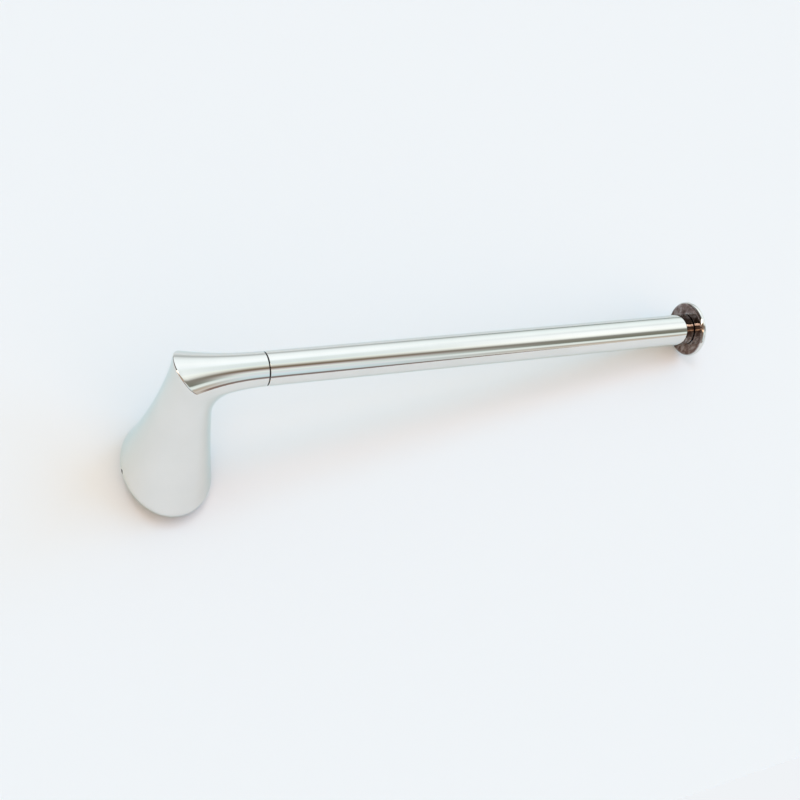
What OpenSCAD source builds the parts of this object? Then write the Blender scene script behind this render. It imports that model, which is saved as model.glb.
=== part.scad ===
// Paper towel holder: a wall bracket, an elbow post that clips over it, and a turning tube
// held between the neck of the post and an end cap.
// Origin: centre of the wall face. +Z away from the wall, +X along the tube.

/* [Post] */
// Height of the tube's axis above the wall face
arm_h = 91.6; // [76:0.1:120]
// Half of the base along X, at its widest
base_half_x = 25.4; // [21:0.1:32]
// Half of the base along Y, at its widest
base_half_y = 32.8; // [27:0.1:42]
// Height of the widest line of the base
rim_h = 5.6; // [5:0.1:8]
// How far the base draws in below its widest line
rim_tuck = 1.7; // [0.2:0.1:2]
// Half of the elbow's section in the plane of the bend
elbow_half_x = 12; // [10:0.1:14]
// Half of the elbow's section across the bend
elbow_half_y = 14.4; // [12:0.1:18]
// How fast the post narrows along X
flare_power_x = 1.3; // [1:0.1:2]
// How fast the post narrows along Y
flare_power_y = 1.9; // [1.2:0.1:2.5]
// Legs of the fillet in the inner corner of the elbow
inner_fillet = 14; // [6:0.5:16]
// Legs of the rounded edge of the outer mitre
mitre_edge = 0.9; // [0.3:0.1:1.5]
// Wall of the hollow base
post_wall = 3; // [2:0.1:4]
// Solid left above the hollow, up to the tube's axis
hollow_roof = 25.6; // [22:0.1:40]

/* [Neck] */
// Distance from the post's axis to the end face of the neck
neck_end = 38.8; // [32:0.1:50]
// How fast the neck narrows towards the tube, along Z
neck_power_z = 2.1; // [1:0.1:2.5]
// How fast the neck narrows towards the tube, along Y
neck_power_y = 2.1; // [1:0.1:3]

/* [Tube] */
// Outer diameter of the tube
tube_d = 19.05; // [15.5:0.05:23]
// Wall of the tube
tube_wall = 1; // [0.8:0.1:1.6]
// Length of the tube
tube_len = 278.5; // [200:0.5:335]

/* [Spindle and bushes] */
// Diameter of the spindle
spindle_d = 8; // [6.6:0.1:9.6]
// Depth of the spindle in the neck
spindle_depth = 24; // [15:1:30]
// Length of each bush
bush_len = 12; // [6:1:20]
// Running clearance between bush and spindle, on the radius
bush_clear = 0.05; // [0.02:0.01:0.1]
// Clearance of both washers on the spindle, on the radius
washer_clear = 0.3; // [0.1:0.05:0.5]
// Thickness of the washer at the neck
neck_washer_t = 0.7; // [0.4:0.1:1.5]
// Thickness of the washer at the end cap
cap_washer_t = 0.5; // [0.3:0.1:1.5]
// Step of both washers below the tube's surface
washer_step = 0.5; // [0.3:0.1:0.8]
// Gap between a washer and the end of the tube
end_gap = 0.1; // [0.05:0.01:0.3]

/* [End cap] */
// Diameter of the end cap
cap_d = 33.8; // [28:0.1:41]
// Thickness of the cap's rim
cap_t = 4; // [3:0.1:5]
// Height of the dome on the cap's outer face
cap_dome = 0.8; // [0.4:0.1:1.5]
// Diameter of the cap's threaded stud
stud_d = 4.8; // [4:0.1:5]
// Length of the cap's threaded stud
stud_len = 10; // [8:1:14]
// Clearance of the stud in the spindle, on the radius
stud_clear = 0.05; // [0.02:0.01:0.1]

/* [Wall bracket] */
// Gap between the bracket and the inside of the base, along X
bracket_gap_x = 6.4; // [5.5:0.1:8]
// Gap between the bracket and the inside of the base, along Y
bracket_gap_y = 3.8; // [3:0.1:5]
// Thickness of the bracket's floor
bracket_floor = 2.5; // [2:0.1:3.5]
// Height of the bracket's edge
bracket_h = 7; // [6.5:0.1:8]
// Wall of the bracket's edge
bracket_wall = 2; // [1.5:0.1:3]
// Distance between the two screw holes
hole_spacing = 25.4; // [20:0.1:28]
// Diameter of the screw holes
hole_d = 4.6; // [3:0.1:5]
// Diameter of the countersinks of the screw holes
countersink_d = 7.6; // [5.6:0.1:8.6]

/* [Set screw] */
// Diameter of the set screw
screw_d = 3; // [2.5:0.1:4]
// Height of the set screw above the wall face
screw_z = 4.6; // [4:0.1:5]
// How far the screw's head lies inside the rim
screw_recess = 0.7; // [0.5:0.1:2]
// Gap between the screw's tip and the bracket
screw_gap = 0.2; // [0.1:0.1:0.5]
// Clearance of the screw in its hole, on the radius
screw_clear = 0.08; // [0.05:0.01:0.1]
// Socket in the screw's head, across flats
socket_w = 1.5; // [1.2:0.1:1.8]
// Depth of the socket
socket_depth = 1.5; // [1:0.1:3]

/* [Hidden] */
$fn = 64;

tube_r = tube_d / 2;
bore_r = tube_r - tube_wall;
spindle_r = spindle_d / 2;
washer_r = tube_r - washer_step;
tube_x = neck_end + neck_washer_t + end_gap;
tube_end = tube_x + tube_len;
cap_x = tube_end + end_gap + cap_washer_t;
stud_r = stud_d / 2;
stud_hole_r = stud_r + stud_clear;
washer_hole_r = spindle_r + washer_clear;
rim_r = cap_t / 2;
hollow_h = arm_h - hollow_roof;
bracket_half_x = base_half_x - post_wall - bracket_gap_x;
bracket_half_y = base_half_y - post_wall - bracket_gap_y;

// Facets of the post: around it, and rows along each stretch
around = 48;
rim_rows = 3;
post_rows = 12;
bend_rows = 5;
neck_rows = 8;
hollow_rows = 7;
// Steps of the end cap's dome
dome_steps = 8;

// Half widths of the post at height z
function narrowing(z, power) =
    pow(max(0, 1 - max(0, z - rim_h) / (arm_h - rim_h)), power);
function tuck(z) = z < rim_h ? rim_tuck * pow(1 - z / rim_h, 2) : 0;
function half_x(z) =
    elbow_half_x + (base_half_x - elbow_half_x) * narrowing(z, flare_power_x) - tuck(z);
function half_y(z) =
    elbow_half_y + (base_half_y - elbow_half_y) * narrowing(z, flare_power_y) - tuck(z);
function post_point(a, z) = [half_x(z) * cos(a), half_y(z) * sin(a), z];

// Height at which the line at angle a meets the 45 degree mitre, found by iteration
function mitre_z(a, z = arm_h, turns = 12) =
    turns == 0 ? z : mitre_z(a, arm_h - half_x(z) * cos(a), turns - 1);
// Leg of the rounding at angle a: a fine edge outside, a fillet inside
function ease(c) = c <= 0 ? 0 : c * c * (3 - 2 * c);
function leg(a) = mitre_edge + (inner_fillet - mitre_edge) * ease(cos(a));
function blend(p, q, t) = p + (q - p) * t;
// Point on the neck at angle a, a share t of the way from the mitre to the end face
function neck_point(a, t) =
    let (m = post_point(a, mitre_z(a)))
    [blend(m.x, neck_end, t),
     blend(m.y, tube_r * sin(a), 1 - pow(1 - t, neck_power_y)),
     blend(m.z, arm_h - tube_r * cos(a), 1 - pow(1 - t, neck_power_z))];
function bend_point(a, t) =
    let (m = post_point(a, mitre_z(a)),
         p = post_point(a, m.z - leg(a)),
         q = neck_point(a, leg(a) / (neck_end - m.x)))
    blend(blend(p, m, t), blend(m, q, t), t);

function angle(i) = 360 * i / around;
function ring_rim(k) = [for (i = [0:around - 1]) post_point(angle(i), rim_h * k / rim_rows)];
function ring_post(k) =
    [for (i = [0:around - 1])
        let (a = angle(i), top = mitre_z(a) - leg(a))
        post_point(a, blend(rim_h, top, k / post_rows))];
function ring_bend(k) = [for (i = [0:around - 1]) bend_point(angle(i), k / bend_rows)];
function ring_neck(k) =
    [for (i = [0:around - 1])
        let (a = angle(i), start = leg(a) / (neck_end - post_point(a, mitre_z(a)).x))
        neck_point(a, blend(start, 1, k / neck_rows))];
// Ring of the hollow: the post's section less its wall
function ring_hollow(k) =
    let (z = blend(-1, hollow_h, k / hollow_rows), outer_z = max(z, rim_h))
    [for (i = [0:around - 1])
        [(half_x(outer_z) - post_wall) * cos(angle(i)),
         (half_y(outer_z) - post_wall) * sin(angle(i)), z]];

// Closed skin over a list of rings with the same number of points
module skin(rings) {
    n = len(rings[0]);
    last = len(rings) - 1;
    sides = [for (r = [0:last - 1], i = [0:n - 1], half = [0:1])
        let (j = (i + 1) % n, low = r * n, high = low + n)
        half == 0 ? [low + i, high + j, low + j] : [low + i, high + i, high + j]];
    bottom = [for (i = [0:n - 1]) i];
    top = [for (i = [n - 1:-1:0]) last * n + i];
    polyhedron(points = [for (r = rings) each r], faces = concat(sides, [bottom, top]));
}

// Cylinder along +X from x0, centred on the tube's axis
module rod(r, x0, length) {
    translate([x0, 0, arm_h])
        rotate([0, 90, 0])
            cylinder(r = r, h = length);
}

module ring(r_out, r_in, x0, length) {
    difference() {
        rod(r_out, x0, length);
        rod(r_in, x0 - 1, length + 2);
    }
}

module wall_bracket() {
    color([0.72, 0.73, 0.75])
    difference() {
        stadium(bracket_half_x, 0, bracket_h);
        stadium(bracket_half_x - bracket_wall, bracket_floor, bracket_h);
        for (side = [-1, 1])
            translate([0, side * hole_spacing / 2, 0])
                countersunk_hole();
    }
}

// Plain hole through the bracket's floor, opening at 45 degrees towards the top
module countersunk_hole() {
    slope = (countersink_d - hole_d) / 2;
    translate([0, 0, -1])
        cylinder(d = hole_d, h = bracket_floor + 2);
    translate([0, 0, bracket_floor - slope])
        cylinder(r1 = hole_d / 2, r2 = hole_d / 2 + slope + 1, h = slope + 1);
}

// Block with round ends along Y, from height z0 up
module stadium(r, z0, height) {
    reach = bracket_half_y - bracket_half_x;
    for (side = [-1, 1])
        translate([0, side * reach, z0])
            cylinder(r = r, h = height);
    translate([-r, -reach, z0])
        cube([2 * r, 2 * reach, height]);
}

module post() {
    rings = concat([for (k = [0:rim_rows - 1]) ring_rim(k)],
                   [for (k = [0:post_rows - 1]) ring_post(k)],
                   [for (k = [0:bend_rows - 1]) ring_bend(k)],
                   [for (k = [0:neck_rows]) ring_neck(k)]);
    color([0.86, 0.87, 0.89])
    difference() {
        skin(rings);
        skin([for (k = [0:hollow_rows]) ring_hollow(k)]);
        rod(spindle_r, neck_end - spindle_depth, spindle_depth + 1);
        translate([-base_half_x - 1, 0, screw_z])
            rotate([0, 90, 0])
                cylinder(r = screw_d / 2 + screw_clear, h = post_wall + 3);
    }
}

module set_screw() {
    head_x = -base_half_x + screw_recess;
    tip_x = -bracket_half_x - screw_gap;
    r = screw_d / 2;
    tip = r / 2;
    color([0.3, 0.31, 0.33])
    translate([head_x, 0, screw_z])
        rotate([0, 90, 0])
            difference() {
                union() {
                    cylinder(r = r, h = tip_x - head_x - tip);
                    translate([0, 0, tip_x - head_x - tip])
                        cylinder(r1 = r, r2 = r - tip, h = tip);
                }
                translate([0, 0, -1])
                    cylinder(d = socket_w / cos(30), h = socket_depth + 1, $fn = 6);
            }
}

module neck_washer() {
    color([0.06, 0.06, 0.06])
    ring(washer_r, washer_hole_r, neck_end, neck_washer_t);
}

module spindle() {
    start = neck_end - spindle_depth;
    color([0.66, 0.67, 0.7])
    difference() {
        rod(spindle_r, start, cap_x - start);
        rod(stud_hole_r, cap_x - stud_len - 1, stud_len + 2);
    }
}

module near_bush() {
    color([0.9, 0.9, 0.86])
    ring(bore_r, spindle_r + bush_clear, tube_x, bush_len);
}

module tube() {
    color([0.86, 0.87, 0.89])
    ring(tube_r, bore_r, tube_x, tube_len);
}

module far_bush() {
    color([0.9, 0.9, 0.86])
    ring(bore_r, spindle_r + bush_clear, tube_end - bush_len, bush_len);
}

module cap_washer() {
    color([0.06, 0.06, 0.06])
    ring(washer_r, washer_hole_r, cap_x - cap_washer_t, cap_washer_t);
}

// Disc with a rounded rim, a low dome outside and a threaded stud inside
module end_cap() {
    flat_r = cap_d / 2 - rim_r;
    dome = [for (i = [0:dome_steps])
        let (r = flat_r * (1 - i / dome_steps))
        [r, cap_t + cap_dome * (1 - pow(r / flat_r, 2))]];
    color([0.86, 0.87, 0.89])
    translate([cap_x, 0, arm_h])
        rotate([0, 90, 0]) {
            rotate_extrude()
                polygon(concat([[0, 0], [flat_r, 0]], dome));
            translate([0, 0, rim_r])
                rotate_extrude()
                    translate([flat_r, 0])
                        circle(r = rim_r);
            translate([0, 0, -stud_len])
                cylinder(r = stud_r, h = stud_len + 1);
        }
}

wall_bracket();
post();
set_screw();
neck_washer();
spindle();
near_bush();
tube();
far_bush();
cap_washer();
end_cap();
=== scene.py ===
"""Wall-mounted paper towel holder: polished elbow post, turning tube and end cap."""
import math

import bmesh
import bpy
from mathutils import Matrix, Vector


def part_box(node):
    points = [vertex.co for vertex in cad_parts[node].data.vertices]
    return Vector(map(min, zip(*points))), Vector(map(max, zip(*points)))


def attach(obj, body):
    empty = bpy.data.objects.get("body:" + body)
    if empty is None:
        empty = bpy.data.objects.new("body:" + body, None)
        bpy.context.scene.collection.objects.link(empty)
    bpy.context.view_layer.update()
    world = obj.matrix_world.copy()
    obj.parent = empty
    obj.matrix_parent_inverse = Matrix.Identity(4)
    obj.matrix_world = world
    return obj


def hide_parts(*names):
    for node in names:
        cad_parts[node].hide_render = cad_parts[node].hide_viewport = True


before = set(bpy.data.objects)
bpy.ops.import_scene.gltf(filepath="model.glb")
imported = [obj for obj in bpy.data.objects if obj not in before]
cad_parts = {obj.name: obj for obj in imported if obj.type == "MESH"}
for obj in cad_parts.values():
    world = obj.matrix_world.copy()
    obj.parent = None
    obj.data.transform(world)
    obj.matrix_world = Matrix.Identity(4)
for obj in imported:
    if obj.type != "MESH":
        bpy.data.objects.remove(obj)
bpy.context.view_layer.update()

bl_info = {
    "name": "Paper towel holder",
    "version": (1, 0, 0),
    "blender": (4, 5, 0),
    "location": "3D View > Sidebar > Towel holder",
    "description": "Builds a chrome paper towel holder on its packed frame",
    "category": "Object",
}

MM = 0.001
POST_LOW, POST_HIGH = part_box("post")
TUBE_LOW, TUBE_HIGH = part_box("tube")
CAP_LOW, CAP_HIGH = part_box("end_cap")
NECK_WASHER_LOW, NECK_WASHER_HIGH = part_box("neck_washer")
CAP_WASHER_LOW, CAP_WASHER_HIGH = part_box("cap_washer")
BRACKET_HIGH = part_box("wall_bracket")[1]
SCREW_LOW, SCREW_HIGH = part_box("set_screw")
SPINDLE_LOW, SPINDLE_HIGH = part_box("spindle")
ARM_HEIGHT = (TUBE_LOW.z + TUBE_HIGH.z) / 2
TUBE_RADIUS = (TUBE_HIGH.y - TUBE_LOW.y) / 2
SPINDLE_RADIUS = (SPINDLE_HIGH.y - SPINDLE_LOW.y) / 2
SCREW_RADIUS = (SCREW_HIGH.y - SCREW_LOW.y) / 2
SCREW_HEIGHT = (SCREW_HIGH.z + SCREW_LOW.z) / 2
SHARP_ANGLE = math.radians(40)
HOLE_SEGMENTS = 48
MITRE_TRIES = 16

# Chrome: its brighter and duller patches, and its colour seen at a flat angle; the brightening at
# the edge is real, its teal tint a painted cool reflection.
CHROME_BRIGHT = (0.80, 0.785, 0.755)
CHROME_DULL = (0.76, 0.75, 0.72)
CHROME_PAINTED_COOL_EDGE = (0.80, 0.91, 0.92)

# The room: an even light for matt surfaces, and a backdrop that matches the lit floor.
AMBIENT = (0.59, 0.65, 0.61)
BACKDROP = (0.871, 0.896, 0.922)

# What mirrors see of the room, as colours at angles round the tube's axis: 0 is away from
# the wall, 90 towards the front. The near and far bands are for the two ends of the arm, the
# floor edge darkens them where the floor stops in front, and the last are for behind.
BAND_LIMIT = 120
NEAR_BANDS = (
    (-92, (0.85, 0.90, 0.90)), (-84, (0.78, 0.82, 0.82)), (-78, (0.62, 0.66, 0.67)),
    (-70, (0.56, 0.60, 0.61)), (-66, (0.85, 0.92, 0.94)), (-52, (1.08, 1.18, 1.22)),
    (-30, (1.20, 1.28, 1.32)), (-18, (1.16, 1.26, 1.32)), (-7, (0.92, 1.03, 1.04)),
    (6, (0.88, 0.98, 1.02)), (14, (0.95, 1.06, 1.00)), (20, (0.80, 0.80, 0.74)),
    (27, (0.40, 0.37, 0.31)), (32, (0.22, 0.165, 0.12)), (37, (0.26, 0.20, 0.16)),
    (45, (0.70, 0.68, 0.67)), (52, (0.98, 1.04, 1.04)), (58, (0.80, 0.95, 0.94)),
    (66, (0.86, 0.88, 0.94)), (74, (0.78, 0.94, 1.02)), (90, (0.64, 0.80, 0.84)),
    (100, (0.66, 0.66, 0.64)), (104, (0.8, 0.8, 0.8)))
FAR_BANDS = (
    (-92, (0.85, 0.90, 0.90)), (-84, (0.60, 0.64, 0.62)), (-80, (0.38, 0.43, 0.42)),
    (-70, (0.44, 0.50, 0.48)), (-62, (0.87, 0.95, 0.96)), (-48, (1.05, 1.17, 1.20)),
    (-32, (1.10, 1.20, 1.22)), (-18, (0.98, 1.06, 1.09)), (-8, (1.18, 1.25, 1.28)),
    (12, (1.25, 1.30, 1.30)), (22, (1.10, 1.16, 1.12)), (28, (0.70, 0.73, 0.70)),
    (32, (0.33, 0.33, 0.30)), (42, (0.24, 0.24, 0.20)), (54, (0.22, 0.23, 0.19)),
    (59, (0.85, 0.95, 0.92)), (67, (1.00, 1.08, 1.05)), (73, (0.55, 0.53, 0.47)),
    (79, (0.62, 0.53, 0.45)), (84, (0.70, 0.66, 0.60)), (100, (0.7, 0.66, 0.60)))
FLOOR_EDGE_BANDS = (
    (88, (1.0, 1.0, 1.0)), (91, (0.42, 0.32, 0.30)), (100, (0.40, 0.30, 0.29)),
    (104, (1.0, 1.0, 1.0)))
BEHIND_BANDS = (
    (-120, (0.78, 0.79, 0.79)), (-96, (0.40, 0.37, 0.35)), (-82, (0.24, 0.23, 0.22)),
    (-72, (0.40, 0.41, 0.42)), (-60, (0.36, 0.37, 0.38)), (-48, (0.16, 0.15, 0.14)),
    (-30, (0.12, 0.10, 0.09)), (0, (0.08, 0.07, 0.06)), (3, (4.6, 4.2, 3.6)),
    (15, (4.2, 3.6, 2.9)), (19, (0.22, 0.16, 0.12)), (44, (0.30, 0.20, 0.14)),
    (47, (1.6, 1.1, 0.7)), (52, (1.6, 1.1, 0.7)), (56, (0.22, 0.15, 0.11)),
    (92, (0.36, 0.32, 0.29)), (120, (0.78, 0.79, 0.79)))

# Soft lights: name, direction as shares of (floor's up, along the arm, side), colour and
# spread in degrees.
LIGHTS = (
    ("ceiling", (1.0, 0.0, 0.0), (0.24, 0.154, 0.138), 12),
    ("ceiling_front", (1.0, 0.0, -0.3), (0.26, 0.165, 0.150), 26),
    ("skylight", (1.0, 0.0, 0.2), (0.12, 0.257, 0.337), 20),
    ("window", (0.46, 0.97, -0.15), (0.22, 0.79, 1.51), 60),
    ("front_fill", (0.64, 0.0, -0.77), (0.90, 0.50, 0.30), 60))


# ---------------------------------------------------------------- sizes and colours

class PostSizes(bpy.types.PropertyGroup):
    """Sizes of the one-piece post and neck"""
    base_half_x: bpy.props.FloatProperty(
        name="Base half depth", description="Half of the base along the arm, at its widest",
        default=25.4 * MM, unit="LENGTH", subtype="DISTANCE")
    base_half_y: bpy.props.FloatProperty(
        name="Base half width", description="Half of the base across the arm, at its widest",
        default=32.8 * MM, unit="LENGTH", subtype="DISTANCE")
    rim_height: bpy.props.FloatProperty(
        name="Rim height", description="Height of the widest line of the base",
        default=5.6 * MM, unit="LENGTH", subtype="DISTANCE")
    rim_tuck: bpy.props.FloatProperty(
        name="Rim tuck", description="How far the base draws in below its widest line",
        default=1.7 * MM, unit="LENGTH", subtype="DISTANCE")
    elbow_half_x: bpy.props.FloatProperty(
        name="Elbow half depth", description="Half of the elbow's section in the plane of the bend",
        default=12.0 * MM, unit="LENGTH", subtype="DISTANCE")
    elbow_half_y: bpy.props.FloatProperty(
        name="Elbow half width", description="Half of the elbow's section across the bend",
        default=14.4 * MM, unit="LENGTH", subtype="DISTANCE")
    flare_power_x: bpy.props.FloatProperty(
        name="Flare in depth", description="How fast the post narrows along the arm", default=1.3)
    flare_power_y: bpy.props.FloatProperty(
        name="Flare in width", description="How fast the post narrows across the arm", default=1.9)
    neck_power_z: bpy.props.FloatProperty(
        name="Neck flare in height", description="How fast the neck narrows in height", default=2.1)
    neck_power_y: bpy.props.FloatProperty(
        name="Neck flare in width", description="How fast the neck narrows in width", default=2.1)
    inner_fillet: bpy.props.FloatProperty(
        name="Inner fillet", description="Legs of the fillet in the inner corner of the elbow",
        default=14.0 * MM, unit="LENGTH", subtype="DISTANCE")
    mitre_edge: bpy.props.FloatProperty(
        name="Mitre edge", description="Legs of the rounded edge of the outer mitre",
        default=0.9 * MM, unit="LENGTH", subtype="DISTANCE")
    wall: bpy.props.FloatProperty(
        name="Wall", description="Wall of the hollow base",
        default=3.0 * MM, unit="LENGTH", subtype="DISTANCE")
    hollow_roof: bpy.props.FloatProperty(
        name="Hollow roof", description="Distance from the top of the hollow to the tube's axis",
        default=25.6 * MM, unit="LENGTH", subtype="DISTANCE")
    around: bpy.props.IntProperty(
        name="Facets around", description="Points in each ring of the post", default=160)


class FittingSizes(bpy.types.PropertyGroup):
    """Sizes of the tube, cap, bracket, screw, spindle, bushes and washers"""
    edge: bpy.props.FloatProperty(
        name="Edge", description="Chamfer on the turned and pressed parts",
        default=0.25 * MM, unit="LENGTH", subtype="DISTANCE")
    bracket_wall: bpy.props.FloatProperty(
        name="Bracket wall", description="Wall of the bracket's edge",
        default=2.0 * MM, unit="LENGTH", subtype="DISTANCE")
    bracket_floor: bpy.props.FloatProperty(
        name="Bracket floor", description="Thickness of the bracket's floor",
        default=2.5 * MM, unit="LENGTH", subtype="DISTANCE")
    hole_spacing: bpy.props.FloatProperty(
        name="Hole spacing", description="Distance between the two screw holes",
        default=25.4 * MM, unit="LENGTH", subtype="DISTANCE")
    hole_radius: bpy.props.FloatProperty(
        name="Hole radius", description="Radius of the screw holes",
        default=2.3 * MM, unit="LENGTH", subtype="DISTANCE")
    sink_radius: bpy.props.FloatProperty(
        name="Countersink radius", description="Radius of the countersinks",
        default=3.8 * MM, unit="LENGTH", subtype="DISTANCE")
    socket: bpy.props.FloatProperty(
        name="Socket", description="Set screw's hexagon socket, across flats",
        default=1.5 * MM, unit="LENGTH", subtype="DISTANCE")
    screw_pitch: bpy.props.FloatProperty(
        name="Set screw pitch", description="Thread pitch of the set screw",
        default=0.5 * MM, unit="LENGTH", subtype="DISTANCE")
    stud_radius: bpy.props.FloatProperty(
        name="Stud radius", description="Radius of the cap's threaded stud",
        default=2.4 * MM, unit="LENGTH", subtype="DISTANCE")
    stud_pitch: bpy.props.FloatProperty(
        name="Stud pitch", description="Thread pitch of the cap's stud",
        default=0.8 * MM, unit="LENGTH", subtype="DISTANCE")
    stud_thread: bpy.props.FloatProperty(
        name="Stud thread depth", description="Depth of the thread on the cap's stud",
        default=0.25 * MM, unit="LENGTH", subtype="DISTANCE")
    nut_thread: bpy.props.FloatProperty(
        name="Spindle thread depth", description="Depth of the thread in the spindle's hole",
        default=0.2 * MM, unit="LENGTH", subtype="DISTANCE")
    screw_thread: bpy.props.FloatProperty(
        name="Set screw thread depth", description="Depth of the thread on the set screw",
        default=0.12 * MM, unit="LENGTH", subtype="DISTANCE")
    screw_clearance: bpy.props.FloatProperty(
        name="Set screw clearance", description="Gap between the set screw and its hole",
        default=0.08 * MM, unit="LENGTH", subtype="DISTANCE")
    stud_clearance: bpy.props.FloatProperty(
        name="Stud clearance", description="Gap between the cap's stud and the spindle",
        default=0.05 * MM, unit="LENGTH", subtype="DISTANCE")
    bush_clearance: bpy.props.FloatProperty(
        name="Bush clearance", description="Gap between the bushes and the spindle",
        default=0.05 * MM, unit="LENGTH", subtype="DISTANCE")
    washer_clearance: bpy.props.FloatProperty(
        name="Washer clearance", description="Gap between the washers and the spindle",
        default=0.3 * MM, unit="LENGTH", subtype="DISTANCE")
    washer_edge: bpy.props.FloatProperty(
        name="Washer edge", description="Chamfer on the washers",
        default=0.08 * MM, unit="LENGTH", subtype="DISTANCE")
    tube_wall: bpy.props.FloatProperty(
        name="Tube wall", description="Wall of the tube",
        default=1.0 * MM, unit="LENGTH", subtype="DISTANCE")
    tube_edge: bpy.props.FloatProperty(
        name="Tube edge", description="Radius of the tube's rounded ends",
        default=0.15 * MM, unit="LENGTH", subtype="DISTANCE")
    cap_rim: bpy.props.FloatProperty(
        name="Cap rim", description="Radius of the cap's rounded rim",
        default=2.0 * MM, unit="LENGTH", subtype="DISTANCE")


class StageSettings(bpy.types.PropertyGroup):
    """Floor and camera"""
    floor_colour: bpy.props.FloatVectorProperty(
        name="Floor colour", description="Colour of the pale floor",
        default=(0.88, 0.88, 0.88), subtype="COLOR")
    floor_size: bpy.props.FloatProperty(
        name="Floor size", description="Width of the floor", default=8.0,
        unit="LENGTH", subtype="DISTANCE")
    floor_front: bpy.props.FloatProperty(
        name="Floor front", description="Distance from the tube to the floor's front edge",
        default=0.26, unit="LENGTH", subtype="DISTANCE")
    floor_gap: bpy.props.FloatProperty(
        name="Floor gap", description="Gap left between the holder and the floor",
        default=0.2 * MM, unit="LENGTH", subtype="DISTANCE")
    lens: bpy.props.FloatProperty(
        name="Lens", description="Focal length of the camera, in millimetres",
        default=56.27, unit="CAMERA")
    camera_place: bpy.props.FloatVectorProperty(
        name="Camera place", description="Where the camera stands",
        default=(-184.1 * MM, -362.2 * MM, 606.2 * MM), subtype="TRANSLATION")
    camera_right: bpy.props.FloatVectorProperty(
        name="Camera right", description="Direction that lies to the right in the view",
        default=(0.8966, -0.3256, 0.3000), subtype="DIRECTION")
    camera_up: bpy.props.FloatVectorProperty(
        name="Camera up", description="Direction that points up in the view",
        default=(0.0996, 0.8085, 0.5800), subtype="DIRECTION")


# ---------------------------------------------------------------- mesh helpers

def make_object(name, bm, smooth=True):
    """Turns a bmesh into a linked object with outward normals."""
    bmesh.ops.recalc_face_normals(bm, faces=bm.faces)
    mesh = bpy.data.meshes.new(name)
    bm.to_mesh(mesh)
    bm.free()
    if smooth:
        mesh.shade_smooth()
    piece = bpy.data.objects.new(name, mesh)
    bpy.context.scene.collection.objects.link(piece)
    return piece


def first_ring(bm, points):
    """A ring from a bmesh circle, moved to the given points."""
    made = bmesh.ops.create_circle(bm, segments=len(points), radius=1.0)
    ring = made["verts"]
    for vert, point in zip(ring, points):
        vert.co = point
    return ring


def next_ring(bm, ring, points):
    """Extrudes a ring and moves the new ring to the given points."""
    count = len(ring)
    edges = [bm.edges.get((ring[i], ring[(i + 1) % count])) for i in range(count)]
    made = bmesh.ops.extrude_edge_only(bm, edges=edges)
    new_verts = {item for item in made["geom"] if isinstance(item, bmesh.types.BMVert)}
    new_ring = []
    for vert in ring:
        for edge in vert.link_edges:
            other = edge.other_vert(vert)
            if other in new_verts:
                new_ring.append(other)
                break
    for vert, point in zip(new_ring, points):
        vert.co = point
    return new_ring


def close_ring(bm, ring):
    """Closes a ring with one face."""
    bmesh.ops.contextual_create(bm, geom=list(ring))


def loft(bm, rings):
    """Lofts a closed solid through lists of points, extruding one ring after another."""
    start = first_ring(bm, rings[0])
    ring = start
    for points in rings[1:]:
        ring = next_ring(bm, ring, points)
    close_ring(bm, start)
    close_ring(bm, ring)


def lathe(name, profile, segments=128, height=ARM_HEIGHT):
    """Spins a closed (x, radius) profile round an axis along X, by default the tube's."""
    bm = bmesh.new()
    verts = [bm.verts.new((x, 0.0, height + radius)) for x, radius in profile]
    edges = [bm.edges.new((verts[i], verts[(i + 1) % len(verts)])) for i in range(len(verts))]
    bmesh.ops.spin(
        bm, geom=verts + edges, cent=(0.0, 0.0, height), axis=(1.0, 0.0, 0.0),
        angle=2 * math.pi, steps=segments, use_merge=True)
    bmesh.ops.remove_doubles(bm, verts=bm.verts, dist=1e-7)
    return make_object(name, bm)


def cylinder_along_x(name, radius, length, place, segments):
    """Cutter: a cylinder, or a prism with few segments, along X and centred on a place."""
    bm = bmesh.new()
    bmesh.ops.create_cone(
        bm, cap_ends=True, segments=segments, radius1=radius, radius2=radius, depth=length)
    bmesh.ops.rotate(bm, verts=bm.verts, matrix=Matrix.Rotation(math.pi / 2, 3, "Y"))
    bmesh.ops.translate(bm, verts=bm.verts, vec=place)
    return make_object(name, bm)


def thread(x0, x1, crest, pitch, depth):
    """Zigzag (x, radius) profile of a thread, from x0 to x1."""
    count = max(1, round(abs(x1 - x0) / pitch))
    points = []
    for i in range(count):
        points.append((x0 + (x1 - x0) * i / count, crest - depth))
        points.append((x0 + (x1 - x0) * (i + 0.5) / count, crest))
    points.append((x1, crest - depth))
    return points


def turned_ring(name, low, high, outer, inner, edge):
    """Ring round the tube's axis with chamfered edges."""
    return lathe(name, [
        (low + edge, outer), (high - edge, outer), (high, outer - edge), (high, inner + edge),
        (high - edge, inner), (low + edge, inner), (low, inner + edge), (low, outer - edge)])


def cut_away(piece, cutters):
    """Subtracts the cutter objects from a piece and removes them."""
    for cutter in cutters:
        cut = piece.modifiers.new(cutter.name, "BOOLEAN")
        cut.operation = "DIFFERENCE"
        cut.solver = "EXACT"
        cut.object = cutter
    graph = bpy.context.evaluated_depsgraph_get()
    shaped = bpy.data.meshes.new_from_object(piece.evaluated_get(graph))
    piece.modifiers.clear()
    piece.data = shaped
    for cutter in cutters:
        bpy.data.objects.remove(cutter)
    shaped.set_sharp_from_angle(angle=SHARP_ANGLE)


def finish_piece(piece, body, node, material):
    """Hands a piece over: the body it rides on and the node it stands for."""
    dress(piece, material)
    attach(piece, body)
    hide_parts(node)


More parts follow.
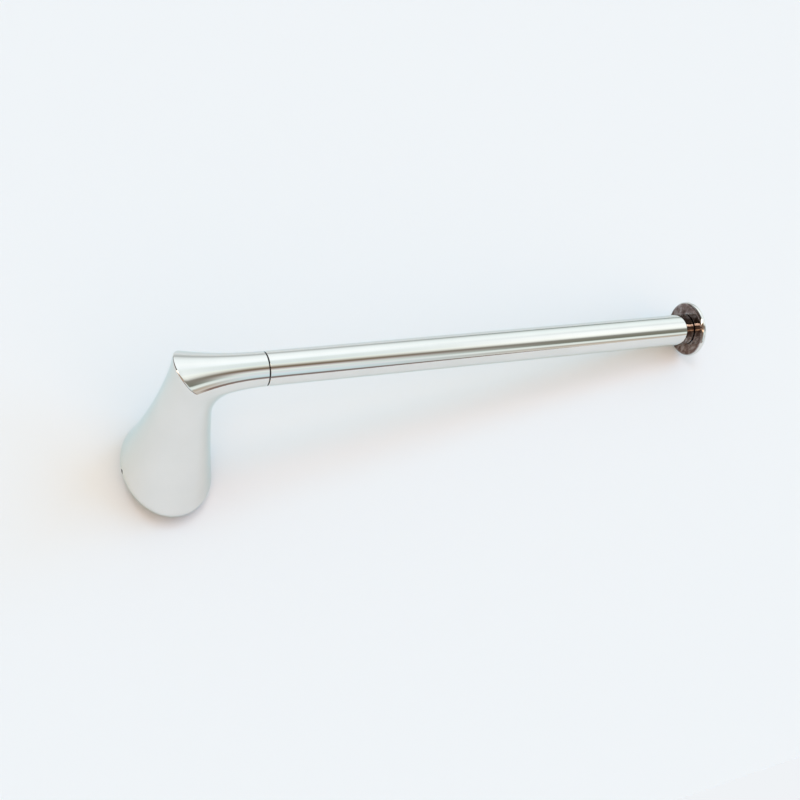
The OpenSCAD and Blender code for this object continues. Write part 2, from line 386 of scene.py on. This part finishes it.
def arc(centre_x, centre_r, radius, start, end, steps):
    """Points of an arc in the (x, radius) plane, with angles in degrees."""
    points = []
    for step in range(steps + 1):
        angle = math.radians(start + (end - start) * step / steps)
        points.append((centre_x + radius * math.cos(angle), centre_r + radius * math.sin(angle)))
    return points


# ---------------------------------------------------------------- post shape

def narrowing(sizes, z, power):
    """Falls from 1 at the rim of the base to 0 at the tube's axis."""
    span = ARM_HEIGHT - sizes.rim_height
    return max(0.0, 1.0 - max(0.0, z - sizes.rim_height) / span) ** power


def half_widths(sizes, z):
    """Half widths of the post's outside at height z."""
    tuck = 0.0
    if z < sizes.rim_height:
        tuck = sizes.rim_tuck * (1.0 - z / sizes.rim_height) ** 2
    x = sizes.elbow_half_x + (sizes.base_half_x - sizes.elbow_half_x) * narrowing(
        sizes, z, sizes.flare_power_x)
    y = sizes.elbow_half_y + (sizes.base_half_y - sizes.elbow_half_y) * narrowing(
        sizes, z, sizes.flare_power_y)
    return x - tuck, y - tuck


def post_point(sizes, angle, z):
    """Point on the post's outside at an angle round it and a height."""
    x, y = half_widths(sizes, z)
    return Vector((x * math.cos(angle), y * math.sin(angle), z))


def mitre_point(sizes, angle):
    """Where the line at this angle meets the 45 degree mitre, found by closer and closer tries."""
    z = ARM_HEIGHT
    for _ in range(MITRE_TRIES):
        z = ARM_HEIGHT - half_widths(sizes, z)[0] * math.cos(angle)
    return post_point(sizes, angle, z)


def mitre_leg(sizes, angle):
    """Leg of the rounding: a fine edge outside, a fillet inside."""
    c = max(0.0, math.cos(angle))
    ease = c * c * (3.0 - 2.0 * c)
    return sizes.mitre_edge + (sizes.inner_fillet - sizes.mitre_edge) * ease


def neck_point(sizes, angle, share):
    """Point on the neck, a share of the way from the mitre to its end face."""
    mitre = mitre_point(sizes, angle)
    end = Vector((POST_HIGH.x, TUBE_RADIUS * math.sin(angle),
                  ARM_HEIGHT - TUBE_RADIUS * math.cos(angle)))
    left = max(0.0, 1.0 - share)
    return Vector((mitre.x + (end.x - mitre.x) * share,
                   mitre.y + (end.y - mitre.y) * (1.0 - left ** sizes.neck_power_y),
                   mitre.z + (end.z - mitre.z) * (1.0 - left ** sizes.neck_power_z)))


def post_line(sizes, angle):
    """Points up the post, round the elbow and along the neck at one angle."""
    mitre = mitre_point(sizes, angle)
    leg = mitre_leg(sizes, angle)
    rim_rows, post_rows, bend_rows, neck_rows = 8, 48, 12, 26
    line = [post_point(sizes, angle, sizes.rim_height * i / rim_rows) for i in range(rim_rows)]
    top = mitre.z - leg
    for i in range(post_rows + 1):
        z = sizes.rim_height + (top - sizes.rim_height) * i / post_rows
        line.append(post_point(sizes, angle, z))
    low = line[-1]
    start = leg / (POST_HIGH.x - mitre.x)
    high = neck_point(sizes, angle, start)
    for i in range(1, bend_rows):
        t = i / bend_rows
        line.append(low.lerp(mitre, t).lerp(mitre.lerp(high, t), t))
    for i in range(neck_rows + 1):
        line.append(neck_point(sizes, angle, start + (1.0 - start) * i / neck_rows))
    return line


def hollow_ring(sizes, z):
    """Points round the hollow at height z, one wall inside the post."""
    x, y = half_widths(sizes, max(z, sizes.rim_height))
    return [Vector(((x - sizes.wall) * math.cos(angle), (y - sizes.wall) * math.sin(angle), z))
            for angle in ring_angles(sizes)]


def ring_angles(sizes):
    """Angles of the points in each ring of the post."""
    return [2 * math.pi * i / sizes.around for i in range(sizes.around)]


# ---------------------------------------------------------------- materials

def new_material(name):
    """A node material, with its nodes, links and shader."""
    material = bpy.data.materials.new(name)
    material.use_nodes = True
    nodes = material.node_tree.nodes
    shader = next(n for n in nodes if n.type == "BSDF_PRINCIPLED")
    return material, nodes, material.node_tree.links, shader


def object_noise(nodes, links, scale, detail, stretch=(1.0, 1.0, 1.0), roughness=0.5):
    """Noise on object coordinates, at a real scale in cycles a metre."""
    place = nodes.new("ShaderNodeTexCoord")
    mapping = nodes.new("ShaderNodeMapping")
    mapping.inputs["Scale"].default_value = stretch
    noise = nodes.new("ShaderNodeTexNoise")
    noise.inputs["Scale"].default_value = scale
    noise.inputs["Detail"].default_value = detail
    noise.inputs["Roughness"].default_value = roughness
    links.new(place.outputs["Object"], mapping.inputs["Vector"])
    links.new(mapping.outputs["Vector"], noise.inputs["Vector"])
    return noise


def ramp(nodes, links, source, stops):
    """Colour ramp from a list of (position, colour)."""
    node = nodes.new("ShaderNodeValToRGB")
    elements = node.color_ramp.elements
    while len(elements) < len(stops):
        elements.new(0.5)
    for element, (position, colour) in zip(elements, stops):
        element.position = position
        element.color = (*colour, 1.0)
    links.new(source, node.inputs["Fac"])
    return node


def map_range(nodes, links, source, low, high):
    """Stretches a value from 0 to 1 over a range."""
    node = nodes.new("ShaderNodeMapRange")
    node.inputs["To Min"].default_value = low
    node.inputs["To Max"].default_value = high
    links.new(source, node.inputs["Value"])
    return node


def mix_colours(nodes, links, factor, low, high):
    """Mixes two colours, from the first at 0 to the second at 1."""
    mix = nodes.new("ShaderNodeMix")
    mix.data_type = "RGBA"
    links.new(factor, mix.inputs["Factor"])
    links.new(low, mix.inputs["A"])
    links.new(high, mix.inputs["B"])
    return mix.outputs["Result"]


def smooth_step(nodes, links, source, low, high):
    """Rises smoothly from 0 to 1 as a value goes from low to high."""
    step = nodes.new("ShaderNodeMapRange")
    step.interpolation_type = "SMOOTHSTEP"
    step.inputs["From Min"].default_value = low
    step.inputs["From Max"].default_value = high
    links.new(source, step.inputs["Value"])
    return step.outputs["Result"]


def add_bump(nodes, links, shader, source, distance):
    """Fine relief on a shader's normal, of a real height in metres."""
    bump = nodes.new("ShaderNodeBump")
    bump.inputs["Strength"].default_value = 1.0
    bump.inputs["Distance"].default_value = distance
    links.new(source, bump.inputs["Height"])
    links.new(bump.outputs["Normal"], shader.inputs["Normal"])


def polished_chrome(name, ripple=0.02 * MM):
    """Mirror chrome with faint smudges, the slight wave of buffed plating and a teal edge tint that
    is a painted cool reflection.
    """
    material, nodes, links, shader = new_material(name)
    shader.inputs["Metallic"].default_value = 1.0
    # Teal tint at grazing angles: painted cool reflection on the edges.
    shader.inputs["Specular Tint"].default_value = (*CHROME_PAINTED_COOL_EDGE, 1.0)
    smudge = object_noise(nodes, links, scale=38.0, detail=5.0)
    colour = ramp(nodes, links, smudge.outputs["Fac"], [
        (0.35, CHROME_BRIGHT), (0.75, CHROME_DULL)])
    links.new(colour.outputs["Color"], shader.inputs["Base Color"])
    gloss = map_range(nodes, links, smudge.outputs["Fac"], 0.015, 0.05)
    links.new(gloss.outputs["Result"], shader.inputs["Roughness"])
    wave = object_noise(nodes, links, scale=55.0, detail=2.0)
    add_bump(nodes, links, shader, wave.outputs["Fac"], ripple)
    return material


def dark_backed_chrome(name, back_x):
    """Chrome cap whose flat back gets a dark brown colour with grey blotches, which dims what it
    reflects.
    """
    material = polished_chrome(name)
    nodes, links = material.node_tree.nodes, material.node_tree.links
    shader = next(n for n in nodes if n.type == "BSDF_PRINCIPLED")
    chrome = shader.inputs["Base Color"].links[0].from_socket
    place = nodes.new("ShaderNodeTexCoord")
    split = nodes.new("ShaderNodeSeparateXYZ")
    links.new(place.outputs["Object"], split.inputs["Vector"])
    # Mask: 0 on the cap's flat back, 1 in front of it.
    off_back = smooth_step(
        nodes, links, split.outputs["X"], back_x + 0.1 * MM, back_x + 0.9 * MM)
    blotch = object_noise(nodes, links, scale=330.0, detail=6.0,
                          stretch=(1.0, 1.0, 0.6), roughness=0.7)
    # Dark brown with grey blotches on the flat back, dimming its reflection there.
    back_brown = ramp(nodes, links, blotch.outputs["Fac"], [
        (0.34, (0.09, 0.06, 0.05)), (0.48, (0.19, 0.135, 0.12)), (0.63, (0.42, 0.37, 0.36))])
    colour = mix_colours(nodes, links, off_back, back_brown.outputs["Color"], chrome)
    links.new(colour, shader.inputs["Base Color"])
    return material


def moulded_nylon(name, colour, rough):
    """Moulded plastic with a fine matt grain."""
    material, nodes, links, shader = new_material(name)
    tone = object_noise(nodes, links, scale=220.0, detail=3.0)
    darker = tuple(c * 0.8 for c in colour)
    shades = ramp(nodes, links, tone.outputs["Fac"], [(0.3, darker), (0.7, colour)])
    links.new(shades.outputs["Color"], shader.inputs["Base Color"])
    gloss = map_range(nodes, links, tone.outputs["Fac"], rough - 0.08, rough + 0.08)
    links.new(gloss.outputs["Result"], shader.inputs["Roughness"])
    grain = object_noise(nodes, links, scale=3500.0, detail=2.0)
    add_bump(nodes, links, shader, grain.outputs["Fac"], 0.02 * MM)
    return material


def plated_steel(name, colour, dark, rough=0.3):
    """Zinc or black plated steel: mottled crystals and drawn lines."""
    material, nodes, links, shader = new_material(name)
    shader.inputs["Metallic"].default_value = 1.0
    mottle = object_noise(nodes, links, scale=320.0, detail=6.0)
    shades = ramp(nodes, links, mottle.outputs["Fac"], [(0.3, dark), (0.7, colour)])
    links.new(shades.outputs["Color"], shader.inputs["Base Color"])
    gloss = map_range(nodes, links, mottle.outputs["Fac"], rough - 0.1, rough + 0.15)
    links.new(gloss.outputs["Result"], shader.inputs["Roughness"])
    lines = object_noise(nodes, links, scale=900.0, detail=2.0, stretch=(0.05, 1.0, 1.0))
    add_bump(nodes, links, shader, lines.outputs["Fac"], 0.03 * MM)
    return material


def dress(piece, material):
    """Gives a piece its one material."""
    piece.data.materials.clear()
    piece.data.materials.append(material)


# ---------------------------------------------------------------- operators

class TOWEL_OT_post(bpy.types.Operator):
    """Builds the hollow elbow post with its neck and set-screw hole"""
    bl_idname = "towel.post"
    bl_label = "Post"

    def execute(self, context):
        sizes = context.scene.towel_post
        lines = [post_line(sizes, angle) for angle in ring_angles(sizes)]
        outside = [list(ring) for ring in zip(*lines)]
        hollow_top = ARM_HEIGHT - sizes.hollow_roof
        hollow_rows = 24
        inside = [hollow_ring(sizes, hollow_top * i / hollow_rows)
                  for i in range(hollow_rows, -1, -1)]
        bm = bmesh.new()
        loft(bm, inside + outside)
        bmesh.ops.remove_doubles(bm, verts=bm.verts, dist=1e-7)
        piece = make_object("elbow_post", bm)
        self.drill(piece, context.scene.towel_fittings.screw_clearance)
        chrome = polished_chrome("polished_chrome_casting")
        finish_piece(piece, "post", "post", chrome)
        return {"FINISHED"}

    @staticmethod
    def drill(piece, clearance):
        """Cuts the set screw's hole through the wall of the base."""
        length = 12 * MM
        cut_away(piece, [cylinder_along_x(
            "set_screw_hole", SCREW_RADIUS + clearance, length, (POST_LOW.x, 0.0, SCREW_HEIGHT),
            HOLE_SEGMENTS)])


class TOWEL_OT_tube(bpy.types.Operator):
    """Builds the polished tube that carries the roll"""
    bl_idname = "towel.tube"
    bl_label = "Tube"

    def execute(self, context):
        sizes = context.scene.towel_fittings
        edge = sizes.tube_edge
        x0, x1 = TUBE_LOW.x, TUBE_HIGH.x
        outer, inner = TUBE_RADIUS, TUBE_RADIUS - sizes.tube_wall
        rows = 24
        profile = [(x0 + edge + (x1 - x0 - 2 * edge) * i / rows, outer) for i in range(rows + 1)]
        profile += arc(x1 - edge, outer - edge, edge, 75, 0, 4)
        profile += [(x1, inner), (x0, inner)]
        profile += arc(x0 + edge, outer - edge, edge, 180, 105, 4)
        piece = lathe("arm_tube", profile)
        piece.data.set_sharp_from_angle(angle=SHARP_ANGLE)
        chrome = polished_chrome("polished_chrome_tube", ripple=0.004 * MM)
        finish_piece(piece, "tube", "tube", chrome)
        return {"FINISHED"}


class TOWEL_OT_cap(bpy.types.Operator):
    """Builds the flat-backed end cap with its rounded rim"""
    bl_idname = "towel.cap"
    bl_label = "End cap"

    def execute(self, context):
        sizes = context.scene.towel_fittings
        back, rim = CAP_WASHER_HIGH.x, sizes.cap_rim
        flat = (CAP_HIGH.y - CAP_LOW.y) / 2 - rim
        dome = CAP_HIGH.x - back - 2 * rim
        stud, pitch, depth = sizes.stud_radius, sizes.stud_pitch, sizes.stud_thread
        back_rows, rim_rows, dome_rows = 6, 28, 14
        profile = [(CAP_LOW.x, 0.0)]
        profile += thread(CAP_LOW.x, back - pitch, stud, pitch, depth)
        profile += [(back, stud - depth)]
        profile += [(back, stud + (flat - stud) * i / back_rows) for i in range(1, back_rows)]
        profile += arc(back + rim, flat, rim, 180, 0, rim_rows)
        for i in range(1, dome_rows + 1):
            r = flat * (1 - i / dome_rows)
            profile.append((back + 2 * rim + dome * (1 - (r / flat) ** 2), r))
        piece = lathe("round_end_cap", profile)
        piece.data.set_sharp_from_angle(angle=SHARP_ANGLE)
        chrome = dark_backed_chrome("polished_chrome_cap", back)
        finish_piece(piece, "cap", "end_cap", chrome)
        return {"FINISHED"}


class TOWEL_OT_bracket(bpy.types.Operator):
    """Builds the pressed wall bracket with its two countersunk holes"""
    bl_idname = "towel.bracket"
    bl_label = "Wall bracket"

    def execute(self, context):
        sizes = context.scene.towel_fittings
        edge, wall, floor = sizes.edge, sizes.bracket_wall, sizes.bracket_floor
        top = BRACKET_HIGH.z
        rows = ((0.0, edge), (edge, 0.0), (top - edge, 0.0), (top, edge), (top, wall - edge),
                (top - edge, wall), (floor + 4 * edge, wall), (floor + edge, wall + edge),
                (floor, wall + 4 * edge))
        bm = bmesh.new()
        loft(bm, [self.outline(inset, z) for z, inset in rows])
        piece = make_object("wall_plate", bm)
        cut_away(piece, [self.hole(sizes, side) for side in (-1, 1)])
        zinc = plated_steel("zinc_plated_bracket", (0.62, 0.63, 0.66), (0.42, 0.43, 0.46))
        finish_piece(piece, "bracket", "wall_bracket", zinc)
        return {"FINISHED"}

    @staticmethod
    def outline(inset, z):
        """Stadium outline of the bracket, drawn in by an inset, at height z."""
        radius = BRACKET_HIGH.x - inset
        reach = BRACKET_HIGH.y - BRACKET_HIGH.x
        end_rows = 32
        points = []
        for end, start in ((1, 0.0), (-1, math.pi)):
            for i in range(end_rows + 1):
                turn = start + math.pi * i / end_rows
                points.append(Vector((radius * math.cos(turn),
                                      end * reach + radius * math.sin(turn), z)))
        return points

    @staticmethod
    def hole(sizes, side):
        """Cutter for one screw hole with its countersink."""
        floor, radius, sink = sizes.bracket_floor, sizes.hole_radius, sizes.sink_radius
        below, above = 1 * MM, 0.5 * MM
        centre = side * sizes.hole_spacing / 2
        angles = [2 * math.pi * i / HOLE_SEGMENTS for i in range(HOLE_SEGMENTS)]
        rows = ((-below, radius), (floor - (sink - radius), radius),
                (floor + above, sink + above))
        bm = bmesh.new()
        loft(bm, [[Vector((size * math.cos(angle), centre + size * math.sin(angle), z))
                   for angle in angles] for z, size in rows])
        return make_object("screw_hole", bm)


class TOWEL_OT_screw(bpy.types.Operator):
    """Builds the set screw with its thread, point and hexagon socket"""
    bl_idname = "towel.screw"
    bl_label = "Set screw"

    def execute(self, context):
        sizes = context.scene.towel_fittings
        radius, low, high = SCREW_RADIUS, SCREW_LOW.x, SCREW_HIGH.x
        profile = [(low, 0.0), (low, radius - sizes.edge)]
        profile += thread(low + sizes.edge, high - radius / 2, radius,
                          sizes.screw_pitch, sizes.screw_thread)
        profile += [(high, radius / 2), (high, 0.0)]
        piece = lathe("grub_screw", profile, segments=64, height=SCREW_HEIGHT)
        corner = sizes.socket / math.cos(math.pi / 6) / 2
        length = 3 * MM
        cut_away(piece, [cylinder_along_x(
            "socket", corner, length, (low, 0.0, SCREW_HEIGHT), 6)])
        black = plated_steel("blackened_screw", (0.07, 0.07, 0.08), (0.03, 0.03, 0.03))
        finish_piece(piece, "set_screw", "set_screw", black)
        return {"FINISHED"}


class TOWEL_OT_spindle(bpy.types.Operator):
    """Builds the turned spindle with the threaded hole in its end"""
    bl_idname = "towel.spindle"
    bl_label = "Spindle"

    def execute(self, context):
        sizes = context.scene.towel_fittings
        edge, low, high = 2 * sizes.edge, SPINDLE_LOW.x, SPINDLE_HIGH.x
        spare = 1 * MM
        hole, bottom = sizes.stud_radius + sizes.stud_clearance, CAP_LOW.x - spare
        profile = [(low, 0.0), (low, SPINDLE_RADIUS - edge), (low + edge, SPINDLE_RADIUS),
                   (high - edge, SPINDLE_RADIUS), (high, SPINDLE_RADIUS - edge)]
        profile += thread(high, bottom, hole + sizes.nut_thread, sizes.stud_pitch,
                          sizes.nut_thread)
        profile += [(bottom, 0.0)]
        piece = lathe("core_spindle", profile, segments=96)
        piece.data.set_sharp_from_angle(angle=SHARP_ANGLE)
        zinc = plated_steel("zinc_plated_spindle", (0.66, 0.67, 0.70), (0.46, 0.47, 0.50), 0.25)
        finish_piece(piece, "post", "spindle", zinc)
        return {"FINISHED"}


class TOWEL_OT_washers(bpy.types.Operator):
    """Builds the two black washers at the ends of the tube"""
    bl_idname = "towel.washers"
    bl_label = "Washers"

    def execute(self, context):
        sizes = context.scene.towel_fittings
        black = moulded_nylon("black_nylon", (0.012, 0.012, 0.014), 0.5)
        for name, node, body, low, high in (
                ("neck_seal", "neck_washer", "post", NECK_WASHER_LOW, NECK_WASHER_HIGH),
                ("cap_seal", "cap_washer", "cap_seat", CAP_WASHER_LOW, CAP_WASHER_HIGH)):
            outer, inner = (high.y - low.y) / 2, SPINDLE_RADIUS + sizes.washer_clearance
            piece = turned_ring(name, low.x, high.x, outer, inner, sizes.washer_edge)
            piece.data.set_sharp_from_angle(angle=SHARP_ANGLE)
            finish_piece(piece, body, node, black)
        return {"FINISHED"}


class TOWEL_OT_bushes(bpy.types.Operator):
    """Builds the two natural nylon bushes inside the tube"""
    bl_idname = "towel.bushes"
    bl_label = "Bushes"

    def execute(self, context):
        sizes = context.scene.towel_fittings
        natural = moulded_nylon("natural_nylon", (0.80, 0.79, 0.74), 0.45)
        for name, node in (("near_sleeve", "near_bush"), ("far_sleeve", "far_bush")):
            low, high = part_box(node)
            outer, inner = (high.y - low.y) / 2, SPINDLE_RADIUS + sizes.bush_clearance
            piece = turned_ring(name, low.x, high.x, outer, inner, sizes.edge)
            piece.data.set_sharp_from_angle(angle=SHARP_ANGLE)
            finish_piece(piece, "tube", node, natural)
        return {"FINISHED"}


# ---------------------------------------------------------------- stage

def floor_frame(scene):
    """Floor under the tipped holder: a point on it, its up direction and the arm's direction.

    The holder rests on the edge of its base and the rim of its cap."""
    near = Vector((half_widths(scene.towel_post, 0.0)[0], 0.0, 0.0))
    far = Vector((CAP_WASHER_HIGH.x + scene.towel_fittings.cap_rim, 0.0, CAP_LOW.z))
    along = (far - near).normalized()
    up = Vector((-along.z, 0.0, along.x))
    return near - up * scene.towel_stage.floor_gap, up, along


def angle_round_arm(nodes, links, split):
    """Angle of a direction round the arm's axis, as a share of the bands' range."""
    minus_y = nodes.new("ShaderNodeMath")
    minus_y.operation = "MULTIPLY"
    minus_y.inputs[1].default_value = -1.0
    links.new(split.outputs["Y"], minus_y.inputs[0])
    angle = nodes.new("ShaderNodeMath")
    angle.operation = "ARCTAN2"
    links.new(minus_y.outputs[0], angle.inputs[0])
    links.new(split.outputs["Z"], angle.inputs[1])
    share = nodes.new("ShaderNodeMapRange")
    share.inputs["From Min"].default_value = math.radians(-BAND_LIMIT)
    share.inputs["From Max"].default_value = math.radians(BAND_LIMIT)
    links.new(angle.outputs[0], share.inputs["Value"])
    return share.outputs["Result"]


def room_colour(nodes, links):
    """What a mirror sees of the room: bands of light that change along the arm."""
    place = nodes.new("ShaderNodeTexCoord")
    split = nodes.new("ShaderNodeSeparateXYZ")
    links.new(place.outputs["Generated"], split.inputs["Vector"])
    share = angle_round_arm(nodes, links, split)
    near, far, floor_edge, behind = (
        ramp(nodes, links, share, [
            ((degrees + BAND_LIMIT) / (2 * BAND_LIMIT), colour) for degrees, colour in bands]
        ).outputs["Color"]
        for bands in (NEAR_BANDS, FAR_BANDS, FLOOR_EDGE_BANDS, BEHIND_BANDS))

    def change(start, end, low, high):
        """Goes from one colour to the next between two shares of the arm's direction."""
        step = smooth_step(nodes, links, split.outputs["X"], start, end)
        return mix_colours(nodes, links, step, low, high)

    bands = change(0.36, 0.58, near, far)
    lined = nodes.new("ShaderNodeMix")
    lined.data_type = "RGBA"
    lined.blend_type = "MULTIPLY"
    lined.inputs["Factor"].default_value = 1.0
    links.new(bands, lined.inputs["A"])
    links.new(floor_edge, lined.inputs["B"])
    bands = change(0.55, 0.62, lined.outputs["Result"], bands)
    return change(-0.25, 0.0, behind, bands)


def background(nodes, links, colour):
    """Background shader of one colour, or of a colour socket."""
    shader = nodes.new("ShaderNodeBackground")
    if isinstance(colour, tuple):
        shader.inputs["Color"].default_value = (*colour, 1.0)
    else:
        links.new(colour, shader.inputs["Color"])
    return shader.outputs["Background"]


def mix_shaders(nodes, links, factor, low, high):
    """Mixes two shaders, from the first at 0 to the second at 1."""
    mix = nodes.new("ShaderNodeMixShader")
    links.new(factor, mix.inputs["Fac"])
    links.new(low, mix.inputs[1])
    links.new(high, mix.inputs[2])
    return mix.outputs["Shader"]


class TOWEL_OT_stage(bpy.types.Operator):
    """Makes the pale floor, the soft studio light and the camera"""
    bl_idname = "towel.stage"
    bl_label = "Stage"

    def execute(self, context):
        settings = context.scene.towel_stage
        point, up, along = floor_frame(context.scene)
        self.floor(settings, point, up, along)
        self.world(context.scene)
        self.lights(up, along)
        self.camera(context.scene, settings)
        return {"FINISHED"}

    @staticmethod
    def floor(settings, point, up, along):
        """A wide pale floor whose front edge lies close before the holder."""
        bm = bmesh.new()
        bmesh.ops.create_grid(bm, x_segments=1, y_segments=1, size=settings.floor_size / 2)
        shift = settings.floor_size / 2 - settings.floor_front
        bmesh.ops.translate(bm, verts=bm.verts, vec=(0.0, shift, 0.0))
        across = up.cross(along)
        turn = Matrix((along, across, up)).transposed()
        bmesh.ops.rotate(bm, verts=bm.verts, matrix=turn)
        bmesh.ops.translate(bm, verts=bm.verts, vec=point)
        floor = make_object("pale_floor", bm, smooth=False)
        material, _, _, shader = new_material("pale_floor")
        shader.inputs["Base Color"].default_value = (*settings.floor_colour, 1.0)
        shader.inputs["Roughness"].default_value = 0.9
        shader.inputs["Specular IOR Level"].default_value = 0.1
        dress(floor, material)

    @staticmethod
    def world(scene):
        """Mirrors see the room, matt surfaces an even light and the camera the backdrop."""
        world = bpy.data.worlds.new("soft_studio")
        scene.world = world
        world.use_nodes = True
        nodes, links = world.node_tree.nodes, world.node_tree.links
        nodes.clear()
        room = background(nodes, links, room_colour(nodes, links))
        ambient = background(nodes, links, AMBIENT)
        backdrop = background(nodes, links, BACKDROP)
        path = nodes.new("ShaderNodeLightPath")
        lit = mix_shaders(nodes, links, path.outputs["Is Glossy Ray"], ambient, room)
        shown = mix_shaders(nodes, links, path.outputs["Is Camera Ray"], lit, backdrop)
        output = nodes.new("ShaderNodeOutputWorld")
        links.new(shown, output.inputs["Surface"])

    @staticmethod
    def lights(up, along):
        """Soft distant lights that don't show in the chrome."""
        side = Vector((0.0, 1.0, 0.0))
        for name, (up_share, along_share, side_share), colour, spread in LIGHTS:
            sun = bpy.data.lights.new(name, "SUN")
            sun.energy = 1.0
            sun.color = colour
            sun.angle = math.radians(spread)
            lamp = bpy.data.objects.new(name, sun)
            source = up * up_share + along * along_share + side * side_share
            lamp.rotation_euler = source.to_track_quat("Z", "Y").to_euler()
            lamp.visible_glossy = False
            bpy.context.scene.collection.objects.link(lamp)

    @staticmethod
    def camera(scene, settings):
        """The camera, squared up from its right and up directions."""
        data = bpy.data.cameras.new("view")
        data.lens = settings.lens
        data.sensor_width = 36.0
        data.clip_end = 50.0
        camera = bpy.data.objects.new("view", data)
        scene.collection.objects.link(camera)
        right, up = Vector(settings.camera_right), Vector(settings.camera_up)
        back = right.cross(up).normalized()
        right = up.cross(back).normalized()
        up = back.cross(right)
        turn = Matrix((right, up, back)).transposed()
        camera.matrix_world = Matrix.Translation(settings.camera_place) @ turn.to_4x4()
        scene.camera = camera
        scene.view_settings.view_transform = "Standard"


class TOWEL_PT_panel(bpy.types.Panel):
    """Lists the pieces of the holder"""
    bl_idname = "TOWEL_PT_panel"
    bl_label = "Towel holder"
    bl_space_type = "VIEW_3D"
    bl_region_type = "UI"
    bl_category = "Towel holder"

    def draw(self, context):
        for step in STEPS:
            self.layout.operator(step.bl_idname)


STEPS = (TOWEL_OT_stage, TOWEL_OT_post, TOWEL_OT_tube, TOWEL_OT_cap, TOWEL_OT_bracket,
         TOWEL_OT_screw, TOWEL_OT_spindle, TOWEL_OT_washers, TOWEL_OT_bushes)
CLASSES = (PostSizes, FittingSizes, StageSettings, *STEPS, TOWEL_PT_panel)


def register():
    """Adds the property groups, operators and panel."""
    for cls in CLASSES:
        bpy.utils.register_class(cls)
    bpy.types.Scene.towel_post = bpy.props.PointerProperty(type=PostSizes)
    bpy.types.Scene.towel_fittings = bpy.props.PointerProperty(type=FittingSizes)
    bpy.types.Scene.towel_stage = bpy.props.PointerProperty(type=StageSettings)


def unregister():
    """Takes them away again."""
    del bpy.types.Scene.towel_stage
    del bpy.types.Scene.towel_fittings
    del bpy.types.Scene.towel_post
    for cls in reversed(CLASSES):
        bpy.utils.unregister_class(cls)


def main():
    """Builds the stage and every piece in order."""
    register()
    bpy.ops.towel.stage()
    bpy.ops.towel.post()
    bpy.ops.towel.tube()
    bpy.ops.towel.cap()
    bpy.ops.towel.bracket()
    bpy.ops.towel.screw()
    bpy.ops.towel.spindle()
    bpy.ops.towel.washers()
    bpy.ops.towel.bushes()


if __name__ == "__main__":
    main()
